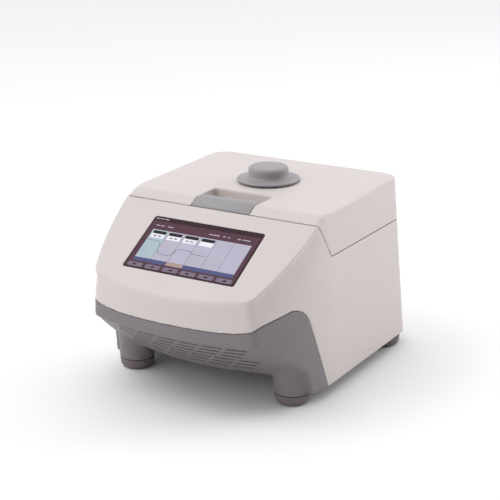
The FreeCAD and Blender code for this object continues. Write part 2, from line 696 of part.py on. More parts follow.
def sample_block():
    """Aluminium block with a flange and a grid of tapered wells."""
    body = prism("XY_Plane", [("-block_width/2 - flange_rim", "-block_depth/2 - flange_rim"),
                              ("block_width/2 + flange_rim", "-block_depth/2 - flange_rim"),
                              ("block_width/2 + flange_rim", "block_depth/2 + flange_rim"),
                              ("-block_width/2 - flange_rim", "block_depth/2 + flange_rim")],
                 "block_flange", symmetric=False)
    plate_sketch = pinned_outline(body, "XY_Plane", [
        ("-block_width/2", "-block_depth/2"), ("block_width/2", "-block_depth/2"),
        ("block_width/2", "block_depth/2"), ("-block_width/2", "block_depth/2")])
    plate = body.newObject("PartDesign::Pad", "Plate")
    plate.Profile = plate_sketch
    plate.setExpression("Length", formula("block_flange + block_plate"))
    well_sketch = body.newObject("Sketcher::SketchObject", "Well")
    well_sketch.AttachmentSupport = [(plane(body, "XY_Plane"), "")]
    well_sketch.MapMode = "FlatFace"
    well_sketch.setExpression("AttachmentOffset.Base.z", formula("block_flange + block_plate"))
    well_sketch.addGeometry(Part.Circle(Vector(-50, -30, 0), Vector(0, 0, 1), 3), False)
    for kind, text in (("DistanceX", "-well_pitch*(well_columns - 1)/2"),
                       ("DistanceY", "-well_pitch*(well_rows - 1)/2")):
        held = well_sketch.addConstraint(Sketcher.Constraint(kind, -1, 1, 0, 3, -30.0))
        well_sketch.setExpression(f"Constraints[{held}]", formula(text))
    held = well_sketch.addConstraint(Sketcher.Constraint("Radius", 0, 3.0))
    well_sketch.setExpression(f"Constraints[{held}]", formula("well_radius"))
    well = body.newObject("PartDesign::Pocket", "WellPocket")
    well.Profile = well_sketch
    well.setExpression("Length", formula("well_depth"))
    well.setExpression("TaperAngle", formula("-well_taper"))
    doc.recompute()
    grid = body.newObject("PartDesign::MultiTransform", "Grid")
    grid.Originals = [well]
    steps = []
    for axis, count in (("H_Axis", "well_columns"), ("V_Axis", "well_rows")):
        step = body.newObject("PartDesign::LinearPattern", "Step")
        step.Direction = (well_sketch, [axis])
        step.setExpression("Length", formula(f"well_pitch*({count} - 1)"))
        step.setExpression("Occurrences", formula(count))
        steps.append(step)
    grid.Transformations = steps
    body.Tip = grid
    return bind(body, y="block_y", z="block_top - block_plate - block_flange")


node("sample_block", sample_block())

BLOCK_BASE = "block_top - block_plate - block_flange"
SINK_TOP = f"{BLOCK_BASE} - peltier_thick"


def frame_round_block(inner_margin, outer_margin, low, high):
    """A rectangular ring round the sample block."""
    return cut(centred(f"block_width/2 + {outer_margin}", f"block_depth/2 + {outer_margin}",
                       (low, high), y="block_y"),
               centred(f"block_width/2 + {inner_margin}", f"block_depth/2 + {inner_margin}",
                       (f"{low} - 5", f"{high} + 5"), y="block_y"))


node("block_gasket", frame_round_block("0", "bezel_gap", "block_top - 7", "block_top - 3"))
node("deck_frame", fuse(
    frame_round_block("bezel_gap", "deck_hole_margin - 0.3", "seam_z - gap/2 - wall",
                      "seam_z - gap/2"),
    frame_round_block("bezel_gap", "bezel_rim", "seam_z - gap/2", "seam_z - gap/2 + bezel_lip")))


def peltier(x, y):
    return centred("peltier_side/2", "peltier_side/2", (SINK_TOP, BLOCK_BASE), x=x, y=y)


node("peltier_modules", group(*mirrored_pairs(
    peltier, ("-peltier_side - 2", "0", "peltier_side + 2"),
    ("block_y - peltier_side/2 - 1", "block_y + peltier_side/2 + 1"))))


def heatsink():
    """A thick base with upright fins that run from front to rear."""
    base = box(("-sink_half_width", "sink_half_width"), ("sink_front", "sink_rear"),
               (f"{SINK_TOP} - sink_base", SINK_TOP))
    count = int(2 * size("fin_half_span") / size("fin_pitch")) + 1
    fins = [box((f"-fin_half_span + {i}*fin_pitch - fin_thick/2",
                 f"-fin_half_span + {i}*fin_pitch + fin_thick/2"),
                ("sink_front + fin_inset", "sink_rear - fin_inset"),
                ("fin_bottom", f"{SINK_TOP} - sink_base")) for i in range(count)]
    return fuse(base, *fins)


node("heatsink", heatsink())


def sink_post(x, y):
    return rod("post_radius", x, y, ("pan_bottom + pan_thick", f"{SINK_TOP} - sink_base"))


SINK_CORNERS = (("-sink_half_width + post_radius", "sink_half_width - post_radius"),
                ("sink_front + post_radius", "sink_rear - post_radius"))
node("heatsink_posts", group(*mirrored_pairs(sink_post, *SINK_CORNERS)))


def clamp_screw(x, y):
    """Holds the block's flange down on the heatsink."""
    flange_top = f"{BLOCK_BASE} + block_flange"
    return rod("screw_head", x, y, (flange_top, f"{flange_top} + 2.5"))


node("block_clamp_screws", group(*mirrored_pairs(
    clamp_screw, ("-block_width/2 - 3.02", "block_width/2 + 3.02"),
    ("block_y - block_depth/3", "block_y", "block_y + block_depth/3"))))


# Electronics

node("power_supply", box(("-supply_half_width", "supply_half_width"),
                         ("supply_front", "supply_rear"), ("supply_bottom", "supply_top")))


def board_post(x, y):
    return rod("3", x, y, ("pan_bottom + pan_thick", "board_z"))


BOARD_CORNERS = (("-board_half_width + 6", "board_half_width - 6"),
                 ("board_front + 30", "board_rear - 6"))
node("board_standoffs", group(*mirrored_pairs(board_post, *BOARD_CORNERS)))
node("main_board", box(("-board_half_width", "board_half_width"), ("board_front", "board_rear"),
                       ("board_z", "board_z + board_thick")))
BOARD_TOP = "board_z + board_thick"


def capacitor(x, y):
    return rod("5", x, y, (BOARD_TOP, f"{BOARD_TOP} + 14"))


def connector(x, y):
    return centred("9", "4", (BOARD_TOP, f"{BOARD_TOP} + 9"), x=x, y=y)


def driver(x, y):
    return centred("12", "8", (BOARD_TOP, f"{BOARD_TOP} + 3"), x=x, y=y)


node("board_components", group(*mirrored_pairs(capacitor, ("-80", "-66", "-52"), ("-90", "-76")),
                               *mirrored_pairs(connector, ("-20", "4", "28"), ("-98", "-24")),
                               *mirrored_pairs(driver, ("-10", "24", "58"), ("-60",))))


# Rear panel with fans and sockets, in the frame of the leaning rear wall

PANEL_IN = "-wall - panel_thick"
FAN_CENTRES = (("-fan_x", "fan_z"), ("fan_x", "fan_z"))


def rear_panel():
    """Sheet behind the opening in the rear wall, with holes for the fans and sockets."""
    sheet_box = box(("-panel_half_width", "panel_half_width"), (PANEL_IN, "-wall"),
                    ("panel_low", "panel_high"))
    through = ("-wall - panel_thick - 5", "5")
    holes = [rod("fan_bore - 1", x, through, z) for x, z in FAN_CENTRES]
    holes.append(centred_rear("inlet_width/2 - 1", through, "inlet_height/2 - 1",
                              "socket_x", "socket_z"))
    holes.append(centred_rear("8", through, "11", "socket_x", "switch_z"))
    holes.append(centred_rear("7.5", through, "4", "usb_x", "usb_z"))
    return cut(sheet_box, *holes)


def centred_rear(half_x, y, half_z, x, z):
    """A box centred on x and z in the rear frame."""
    return box((f"{x} - ({half_x})", f"{x} + ({half_x})"), y,
               (f"{z} - ({half_z})", f"{z} + ({half_z})"))


node("rear_panel", rear_panel(), REAR)

FAN_FRONT = f"{PANEL_IN} - fan_depth"


def fan_frame(x, z):
    """A square frame round a round duct, with four struts that carry the motor cup and axle."""
    ring = cut(centred_rear("fan_side/2", (FAN_FRONT, PANEL_IN), "fan_side/2", x, z),
               rod("fan_bore", x, (f"{FAN_FRONT} - 1", f"{PANEL_IN} + 1"), z))
    cup = rod("hub_radius", x, (f"{PANEL_IN} - 3", PANEL_IN), z)
    axle = rod("axle_radius", x, (f"{PANEL_IN} - 20", f"{PANEL_IN} - 1"), z)
    struts = [centred_rear("fan_bore + 0.2", (f"{PANEL_IN} - 3", PANEL_IN), "1.5", x, z),
              centred_rear("1.5", (f"{PANEL_IN} - 3", PANEL_IN), "fan_bore + 0.2", x, z)]
    return fuse(ring, cup, axle, *struts)


def fan_rotor(x, z):
    """A hub with pitched blades that spins on the frame's axle."""
    back = f"{PANEL_IN} - 3.6"
    front = f"{back} - rotor_depth"
    hub = rod("hub_radius", x, (front, back), z)
    blades = []
    for i in range(int(size("blade_count"))):
        blade = doc.addObject("Part::Box", "Blade")
        bind(blade, Length="rotor_radius - hub_radius + 5", Width="24", Height="1.6")
        blades.append(blade_at(blade, i, x, z))
    disc = rod("rotor_radius", x, (front, back), z)
    bore = rod("axle_radius + running_gap", x, (f"{front} + 1.5", f"{back} + 1"), z)
    return cut(fuse(hub, common(fuse(*blades), disc)), bore)


def blade_at(blade, index, x, z):
    """Turn one blade to its pitch and then round the fan's axle."""
    pitch = Rotation(Vector(1, 0, 0), 48)
    turn = Rotation(Vector(0, 1, 0), 360.0 * index / size("blade_count"))
    sign = -1 if x.startswith("-") else 1
    centre = Vector(sign * size("fan_x"), -size("wall") - size("panel_thick") - 3.6
                    - size("rotor_depth") / 2, size("fan_z"))
    start = Placement(Vector(size("hub_radius") - 4, 0, 0), pitch)
    middle = Placement(pitch.multVec(Vector(0, -12, -0.8)), Rotation())
    blade.Placement = Placement(centre, turn).multiply(middle).multiply(start)
    return blade


def fan_guard(x, z):
    """Round wires on four spokes over the fan's opening."""
    wires = []
    for ring_radius in (10, 18, 26, 34):
        ring = doc.addObject("Part::Torus", "Ring")
        ring.Placement = Placement(Vector(), Rotation(Vector(1, 0, 0), 90))
        wires.append(bind(ring, Radius1=str(ring_radius), Radius2="0.8", x=x, y="-wall + 0.8", z=z))
    spokes = [centred_rear("fan_bore", ("-wall", "-wall + 1.2"), "1", x, z),
              centred_rear("1", ("-wall", "-wall + 1.2"), "fan_bore", x, z)]
    return fuse(*wires, *spokes)


node("fan_frames", group(*[fan_frame(x, z) for x, z in FAN_CENTRES]), REAR)
node("fan_rotor_left", fan_rotor(*FAN_CENTRES[0]), REAR)
node("fan_rotor_right", fan_rotor(*FAN_CENTRES[1]), REAR)
node("fan_guards", group(*[fan_guard(x, z) for x, z in FAN_CENTRES]), REAR)


def fan_screws():
    """Four screws at each fan's corners, through the panel into the frame."""
    screws = []
    for x, z in FAN_CENTRES:
        for dx, dz in ((-1, -1), (-1, 1), (1, -1), (1, 1)):
            screws.append(rod("screw_head", f"{x} + {dx}*(fan_side/2 - 4.2)",
                              ("-wall", "-wall + 1.6"), f"{z} + {dz}*(fan_side/2 - 4.2)"))
    return group(*screws)


node("fan_screws", fan_screws(), REAR)

node("fan_duct", cut(
    box(("-sink_half_width - 6", "sink_half_width + 6"), ("sink_rear - 5.5", "body_rear - 46"),
        ("fin_bottom - 6", f"{SINK_TOP} - sink_base - 0.3")),
    box(("-sink_half_width - 5", "sink_half_width + 5"), ("sink_rear - 10", "body_rear"),
        ("fin_bottom - 5", f"{SINK_TOP} - sink_base - 1.3")),
    *[centred("post_radius + 1", "post_radius + 1", ("pan_bottom", SINK_TOP), x=x,
              y="sink_rear - post_radius") for x in SINK_CORNERS[0]]))


def power_inlet():
    """Mains inlet: flange and body with a deep slot for the plug, three pins and a drawer slot."""
    flange = centred_rear("inlet_width/2", ("-wall", "-wall + 2.4"), "inlet_height/2", "socket_x",
                          "socket_z")
    body = centred_rear("inlet_width/2 - 1.3", ("-wall - inlet_depth", "-wall"),
                        "inlet_height/2 - 1.3", "socket_x", "socket_z")
    slot = centred_rear("pin_slot_width/2", ("-wall - pin_slot_depth", "5"), "pin_slot_height/2",
                        "socket_x", "socket_z + 9")
    drawer_hole = centred_rear("drawer_width/2 + 0.4", ("-wall - drawer_depth - 1", "5"),
                               "drawer_height/2 + 0.4", "socket_x", "socket_z - 13")
    pins = [centred_rear("1", ("-wall - pin_slot_depth - 2", "-wall - 3"), "2", f"socket_x + {dx}",
                         f"socket_z + {dz}") for dx, dz in ((-7, 7), (0, 11), (7, 7))]
    return fuse(cut(fuse(flange, body), slot, drawer_hole), *pins)


node("power_inlet", power_inlet(), REAR)
node("fuse_drawer", cut(
    fuse(centred_rear("drawer_width/2", ("-wall - drawer_depth", "-wall + 2.4"),
                      "drawer_height/2", "socket_x", "socket_z - 13"),
         centred_rear("4", ("-wall + 2.4", "-wall + 3.6"), "drawer_height/2 - 1", "socket_x",
                      "socket_z - 13")),
    *[centred_rear("3.2", ("-wall - drawer_depth + 1", "-wall - 1"), "drawer_height/2 - 0.8",
                   f"socket_x + {dx}", "socket_z - 12.2") for dx in (-5, 5)]), REAR)


def fuse_link(dx):
    """A glass tube fuse lying in the drawer."""
    return rod("2.5", f"socket_x + {dx}", ("-wall - drawer_depth + 1.2", "-wall - 1.4"),
               "socket_z - 13")


node("fuses", group(fuse_link(-5), fuse_link(5)), REAR)

node("switch_bezel", cut(
    fuse(centred_rear("10", ("-wall", "-wall + 2"), "13", "socket_x", "switch_z"),
         centred_rear("7.7", ("-wall - 16", "-wall"), "10.7", "socket_x", "switch_z")),
    centred_rear("rocker_width/2 + 0.5", ("-wall - 14", "5"), "rocker_radius + 0.7", "socket_x",
                 "switch_z")), REAR)


def rocker_switch():
    """A rocker: a drum across the bezel whose outer side has two faces that meet in a shallow V."""
    drum = rod("rocker_radius", ("socket_x - rocker_width/2", "socket_x + rocker_width/2"),
               "-wall - 4", "switch_z")
    inner_cut = centred_rear("rocker_width", ("-wall - 30", "-wall - 8"), "30", "socket_x",
                             "switch_z")
    outer_cut = centred_rear("rocker_width", ("-wall + 2.6", "10"), "30", "socket_x", "switch_z")
    return cut(drum, inner_cut, outer_cut)


node("rocker_switch", rocker_switch(), REAR)
node("usb_port", cut(
    fuse(centred_rear("7.2", ("-wall - 16", "-wall + 0.6"), "3.6", "usb_x", "usb_z"),
         centred_rear("9", ("-wall", "-wall + 0.6"), "5.4", "usb_x", "usb_z")),
    centred_rear("6.4", ("-wall - 13", "5"), "2.8", "usb_x", "usb_z")), REAR)
node("usb_tongue", group(centred_rear("5.6", ("-wall - 13", "-wall - 2"), "0.8", "usb_x",
                                      "usb_z + 1.2")), REAR)


def panel_nut(x, z):
    return rod("screw_head", x, (f"{PANEL_IN} - 1.8", PANEL_IN), z)


node("rear_panel_nuts", group(*mirrored_pairs(
    panel_nut, ("-panel_half_width + 4", "0", "panel_half_width - 4"),
    ("panel_low + 4", "panel_high - 4"))), REAR)


# Lid hinge: two barrels with a pin each

def hinge_side(sign, part):
    """One hinge's piece on the right (1) or left (-1): base bracket, lid arm or pin."""
    def span(start, end):
        low, high = f"hinge_x + {start}", f"hinge_x + {end}"
        return (low, high) if sign > 0 else (f"-({high})", f"-({low})")

    if part == "pin":
        return rod("hinge_pin_radius", span("-knuckle_length - 1", "knuckle_length + 1"), "hinge_y",
                   "hinge_z")
    if part == "base":
        across = span("0.2", "knuckle_length")
        leaf = box(across, ("hinge_y - 12", "hinge_y - 2"), ("hinge_z - 5", "hinge_z - 2.2"))
        foot_plate = box(across, ("hinge_y - 34", "hinge_y - 2"),
                         ("hinge_z - gap/2 - wall - 2", "hinge_z - gap/2 - wall"))
        bore = "hinge_pin_radius"
    else:
        across = span("-knuckle_length", "-0.2")
        leaf = box(across, ("hinge_y - 12", "hinge_y - 2"), ("hinge_z + 2.2", "hinge_z + 8"))
        foot_plate = box(across, ("hinge_y - 40", "hinge_y - 2"),
                         ("cover_bottom + cover_thick", "hinge_z + 8"))
        bore = "hinge_pin_radius + running_gap"
    knuckle = rod("knuckle_radius", across, "hinge_y", "hinge_z")
    return cut(fuse(knuckle, leaf, foot_plate), rod(bore, span("-30", "30"), "hinge_y", "hinge_z"))


node("hinge_base_brackets", group(hinge_side(1, "base"), hinge_side(-1, "base")))
node("lid_hinge_arms", group(hinge_side(1, "lid"), hinge_side(-1, "lid")))
node("hinge_pins", group(hinge_side(1, "pin"), hinge_side(-1, "pin")))


# Lid mechanism: knob, screw, nut, heated plate and its frame

node("knob", cut(turned([
    ("screw_radius", "knob_boss_bottom"), ("knob_boss", "knob_boss_bottom"),
    ("knob_boss", "brim_bottom"), ("brim_radius - 1", "brim_bottom"),
    ("brim_radius", "brim_bottom + 0.8"), ("brim_radius - 0.6", "brim_bottom + 1.8"),
    ("knob_radius + 5", "brim_bottom + brim_thick + 1"),
    ("knob_radius + 1.5", "brim_bottom + brim_thick + 2.6"),
    ("knob_radius", "brim_bottom + brim_thick + 6"), ("knob_radius - 0.4", "knob_top - 1.6"),
    ("knob_radius - 2.2", "knob_top"), ("0", "knob_top"), ("0", "screw_top"),
    ("screw_radius", "screw_top")], y="block_y"),
    box(("-0.6", "0.6"), ("block_y - knob_radius - 1", "block_y - knob_radius + 7"),
        ("knob_top - 1", "knob_top + 1"))))
node("pressure_screw", turned([
    ("0", "screw_bottom"), ("screw_radius", "screw_bottom"), ("screw_radius", "frame_z - 2.5"),
    ("bush_radius - 1", "frame_z - 2.5"), ("bush_radius - 1", "frame_z - 0.3"),
    ("screw_radius", "frame_z - 0.3"), ("screw_radius", "screw_top"), ("0", "screw_top")],
    y="block_y"))
node("screw_retainer", turned([
    ("screw_radius", "frame_z + 5.8"), ("bush_radius - 0.5", "frame_z + 5.8"),
    ("bush_radius - 0.5", "frame_z + 7"), ("screw_radius", "frame_z + 7")], y="block_y"))
node("bearing_bush", turned([
    ("screw_radius + running_gap", "frame_z"), ("bush_radius", "frame_z"),
    ("bush_radius", "frame_z + frame_thick"), ("bush_radius + 3", "frame_z + frame_thick"),
    ("bush_radius + 3", "frame_z + 5.5"), ("screw_radius + running_gap", "frame_z + 5.5")],
    y="block_y"))

GUIDES = (("-guide_x", "guide_x"), ("block_y - guide_y", "block_y + guide_y"))


FRAME_SCREWS = (("-frame_screw_x", "frame_screw_x"), ("frame_screw_front", "frame_screw_rear"))
THROUGH_FRAME = ("frame_z - 5", "frame_z + 9")


def guide_hole(x, y):
    return rod("guide_bush", x, y, THROUGH_FRAME)


def screw_hole(x, y):
    return rod("screw_shank", x, y, THROUGH_FRAME)


def guide_bush(x, y):
    return turned([("guide_radius + running_gap", "frame_z - 2"), ("guide_bush", "frame_z - 2"),
                   ("guide_bush", "frame_z + frame_thick"),
                   ("guide_bush + 1.5", "frame_z + frame_thick"),
                   ("guide_bush + 1.5", "frame_z + frame_thick + 1.5"),
                   ("guide_radius + running_gap", "frame_z + frame_thick + 1.5")], x=x, y=y)


def guide_pin(x, y):
    return rod("guide_radius", x, y, ("holder_top", "frame_z + frame_thick + 5"))


node("guide_bushes", group(*mirrored_pairs(guide_bush, *GUIDES)))
node("guide_pins", group(*mirrored_pairs(guide_pin, *GUIDES)))
node("lid_frame", cut(
    box(("-frame_half_width", "frame_half_width"), ("frame_front", "frame_rear"),
        ("frame_z", "frame_z + frame_thick")),
    rod("bush_radius", "0", "block_y", THROUGH_FRAME),
    *mirrored_pairs(guide_hole, *GUIDES), *mirrored_pairs(screw_hole, *FRAME_SCREWS)))
node("travelling_nut", turned([
    ("screw_radius + running_gap", "holder_top"), ("bush_radius + 6", "holder_top"),
    ("bush_radius + 6", "holder_top + 2.5"), ("bush_radius + 1", "holder_top + 2.5"),
    ("bush_radius + 1", "holder_top + nut_height"),
    ("screw_radius + running_gap", "holder_top + nut_height")], y="block_y"))
node("plate_holder", cut(
    centred("plate_width/2 + rim_thick + 0.5", "plate_depth/2 + rim_thick + 0.5",
            ("plate_bottom + 2", "holder_top"), y="block_y"),
    centred("plate_width/2 + 0.5", "plate_depth/2 + 0.5", ("plate_bottom - 5", "holder_bottom"),
            y="block_y"),
    rod("screw_radius + 1.5", "0", "block_y", ("plate_bottom", "holder_top + 5"))))
node("heated_plate", rounded_plate("plate_width", "plate_depth", "plate_thick", "4", y="block_y",
                                   z="plate_bottom"))
node("heater_film", centred("plate_width/2 - 2", "plate_depth/2 - 2",
                            ("plate_bottom + plate_thick", "plate_bottom + plate_thick + film_thick"),
                            y="block_y"))
node("insulation_pad", cut(
    centred("plate_width/2 - 1", "plate_depth/2 - 1",
            ("plate_bottom + plate_thick + film_thick", "holder_bottom"), y="block_y"),
    rod("screw_radius + 1.5", "0", "block_y", ("holder_bottom - 2", "holder_top"))))


def pressure_spring(x, y):
    """A coil spring round a guide pin, between the holder and the frame."""
    body = doc.addObject("PartDesign::Body", "Spring")
    wire = body.newObject("Sketcher::SketchObject", "Wire")
    wire.AttachmentSupport = [(plane(body, "XZ_Plane"), "")]
    wire.MapMode = "FlatFace"
    wire.addGeometry(Part.Circle(Vector(4.3, 0.5, 0), Vector(0, 0, 1), 0.45), False)
    coil = body.newObject("PartDesign::AdditiveHelix", "Coil")
    coil.Profile = wire
    coil.ReferenceAxis = (wire, ["V_Axis"])
    coil.Mode = 0
    coil.setExpression("Pitch", formula("(frame_z - 2 - holder_top - 1.1)/3"))
    coil.setExpression("Height", formula("frame_z - 2 - holder_top - 1.1"))
    return bind(body, x=x, y=y, z="holder_top + 0.05")


node("pressure_springs", group(*mirrored_pairs(pressure_spring, *GUIDES)))


def frame_screw(x, y):
    return hanging_screw(x, y, "frame_z", "3")


node("lid_frame_screws", group(*mirrored_pairs(frame_screw, *FRAME_SCREWS)))


# Latch: a lever on a pin at the lid's front edge, with two hooks that reach the housing's wall

def latch_lever():
    """A curved plate that follows the lid's outer surface, with a rounded nose and two arms."""
    thick = size("latch_thick")
    tilt = math.radians(size("fascia_tilt"))
    pivot = Vector(0, size("latch_y"), size("latch_z"))
    half = size("latch_half_width")
    nose = Part.makeCylinder(size("latch_nose"), 2 * half, Vector(-half, pivot.y, pivot.z),
                             Vector(1, 0, 0))
    skin = outer.cut(envelope(thick))
    rear = size("latch_rear") - size("gap") / 2
    zone = side_prism([(rear, size("latch_window")), (rear, size("form_height")),
                       (pivot.y - 45 * math.sin(tilt), pivot.z + 45 * math.cos(tilt)),
                       (pivot.y, pivot.z),
                       (pivot.y + 6 * math.sin(tilt), pivot.z - 6 * math.cos(tilt))],
                      half_width=half)
    plate = skin.common(zone)
    low = size("hook_low")
    tip = seam_y(low) - 3.7
    arm_outline = [(pivot.y + 1.0, pivot.z - 1.5), (pivot.y + 11.0, pivot.z + 5.0),
                   (pivot.y + 11.7, pivot.z - 5.2), (pivot.y + 26.2, low + 4.0, 2.0),
                   (pivot.y + 24.7, low, 1.0), (tip, low), (tip, low + size("hook_thick")),
                   (pivot.y + 18.7, low + size("hook_thick")), (pivot.y + 4.2, pivot.z - 5.2)]
    arm = side_prism(arm_outline, half_width=size("latch_arm_width") / 2)
    arms = [arm.translated(Vector(side * size("latch_arm_x"), 0, 0)) for side in (-1, 1)]
    lever = plate.fuse([nose] + arms)
    bore = Part.makeCylinder(size("latch_pin_radius") + size("running_gap"), 4 * half,
                             Vector(-2 * half, pivot.y, pivot.z), Vector(1, 0, 0))
    return lever.cut(bore).common(outer)


node("latch_lever", made(latch_lever()))
node("latch_pin", rod("latch_pin_radius", ("-latch_half_width - gap - 2", "latch_half_width + gap + 2"),
                      "latch_y", "latch_z"))


def latch_catch(side):
    """A steel strike just in front of a hook's tip, fixed to the housing's sloping wall."""
    x = f"{side}*latch_arm_x"
    return centred("latch_arm_width/2 + 5", "0.75", ("catch_low", "catch_high"), x=x, y="catch_y")


node("latch_catches", group(latch_catch(-1), latch_catch(1)))


doc.recompute()
for item in doc.Objects:
    state = [word for word in item.State if word in ("Invalid", "Error")]
    if state:
        raise RuntimeError(f"{item.Name} ({item.Label}) is {state}")
os.makedirs("parts", exist_ok=True)
for item in nodes:
    if item.Shape.isNull() or not item.Shape.isValid():
        raise RuntimeError(f"{item.Label} has no valid shape")
    item.Shape.exportStep(f"parts/{item.Label}.step")
print(len(nodes), "sub-parts written")
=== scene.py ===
# Visual model of a bench thermal cycler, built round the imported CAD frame. Lengths are in metres.
from math import cos, pi, radians, sin

import bmesh
import bpy
from mathutils import Matrix, Vector


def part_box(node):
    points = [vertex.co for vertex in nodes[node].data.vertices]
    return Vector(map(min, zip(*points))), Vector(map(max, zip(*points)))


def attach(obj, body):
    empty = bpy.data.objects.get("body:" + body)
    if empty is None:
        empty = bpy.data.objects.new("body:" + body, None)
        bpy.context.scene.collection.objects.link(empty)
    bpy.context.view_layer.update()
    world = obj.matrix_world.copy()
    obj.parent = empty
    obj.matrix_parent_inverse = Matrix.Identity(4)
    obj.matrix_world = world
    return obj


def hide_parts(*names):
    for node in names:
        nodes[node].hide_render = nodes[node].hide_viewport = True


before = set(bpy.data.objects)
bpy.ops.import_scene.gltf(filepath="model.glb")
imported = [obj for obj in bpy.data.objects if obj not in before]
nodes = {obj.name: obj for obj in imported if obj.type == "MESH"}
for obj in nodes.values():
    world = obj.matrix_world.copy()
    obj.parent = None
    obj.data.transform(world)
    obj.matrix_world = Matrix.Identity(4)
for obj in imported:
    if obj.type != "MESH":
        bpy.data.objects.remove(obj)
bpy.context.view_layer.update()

MM = 0.001


# Camera: at the photograph's place and angle, with a long lens

AZIMUTH = radians(31.007)
ELEVATION = radians(17.79)
ROLL = radians(-0.288)
LENS = 98.7
SENSOR = 36.0
CAMERA_PLACE = Vector((861.8, -1419.4, 685.05)) * MM

backward = Vector((sin(AZIMUTH) * cos(ELEVATION), -cos(AZIMUTH) * cos(ELEVATION), sin(ELEVATION)))
level_right = Vector((cos(AZIMUTH), sin(AZIMUTH), 0))
level_up = backward.cross(level_right)
right = cos(ROLL) * level_right + sin(ROLL) * level_up
up = cos(ROLL) * level_up - sin(ROLL) * level_right

camera_data = bpy.data.cameras.new("camera")
camera_data.lens = LENS
camera_data.sensor_width = SENSOR
camera = bpy.data.objects.new("camera", camera_data)
facing = Matrix((right, up, backward)).transposed()
camera.matrix_world = Matrix.Translation(CAMERA_PLACE) @ facing.to_4x4()
bpy.context.scene.collection.objects.link(camera)
bpy.context.scene.camera = camera


# Materials: every look is a node tree with colour variation, fine texture and roughness variation

def new_look(name):
    """An empty material with a shader, and a function that adds a node to it and sets its inputs."""
    look = bpy.data.materials.new(name)
    look.use_nodes = True
    tree = look.node_tree
    shader = tree.nodes["Principled BSDF"]

    def add(kind, links=(), **settings):
        made = tree.nodes.new(kind)
        for key, value in settings.items():
            if key in made.inputs:
                made.inputs[key].default_value = value
            else:
                setattr(made, key, value)
        for target, source in dict(links).items():
            tree.links.new(source, made.inputs[target])
        return made

    return look, tree, shader, add


def shade(colour, factor):
    """The colour made lighter or darker."""
    return (colour[0] * factor, colour[1] * factor, colour[2] * factor, 1)


def moulded(name, colour, grain=0.0006, depth=0.05, roughness=0.5, patch=0.05, contrast=0.04,
            metal=0.0, spread=0.06, stretch=(1, 1, 1), emission=0.0, gloss=0.5):
    """A moulded or machined surface: slow changes of colour over patches, a fine grain that is a bump,
    and a roughness that changes a little from place to place."""
    look, tree, shader, add = new_look(name)
    place = add("ShaderNodeTexCoord").outputs["Object"]
    if stretch != (1, 1, 1):
        mapping = add("ShaderNodeMapping", {"Vector": place})
        mapping.inputs["Scale"].default_value = stretch
        place = mapping.outputs["Vector"]
    patches = add("ShaderNodeTexNoise", {"Vector": place}, Scale=1 / patch, Detail=3.0)
    speckle = add("ShaderNodeTexNoise", {"Vector": place}, Scale=1 / grain, Detail=2.0)
    both = add("ShaderNodeMath", {0: patches.outputs["Fac"], 1: speckle.outputs["Fac"]},
               operation="ADD")
    ramp = add("ShaderNodeMapRange", {"Value": both.outputs[0]})
    ramp.inputs["From Min"].default_value = 0.6
    ramp.inputs["From Max"].default_value = 1.4
    mix = add("ShaderNodeMix", {"Factor": ramp.outputs[0]}, data_type="RGBA")
    mix.inputs["A"].default_value = shade(colour, 1 - contrast)
    mix.inputs["B"].default_value = shade(colour, 1 + contrast)
    tree.links.new(mix.outputs["Result"], shader.inputs["Base Color"])
    rough = add("ShaderNodeMapRange", {"Value": patches.outputs["Fac"]})
    rough.inputs["To Min"].default_value = roughness - spread
    rough.inputs["To Max"].default_value = roughness + spread
    tree.links.new(rough.outputs[0], shader.inputs["Roughness"])
    bump = add("ShaderNodeBump", {"Height": speckle.outputs["Fac"]}, Strength=depth, Distance=grain)
    tree.links.new(bump.outputs["Normal"], shader.inputs["Normal"])
    shader.inputs["Metallic"].default_value = metal
    shader.inputs["Specular IOR Level"].default_value = gloss
    if emission:
        tree.links.new(mix.outputs["Result"], shader.inputs["Emission Color"])
        shader.inputs["Emission Strength"].default_value = emission
    return look


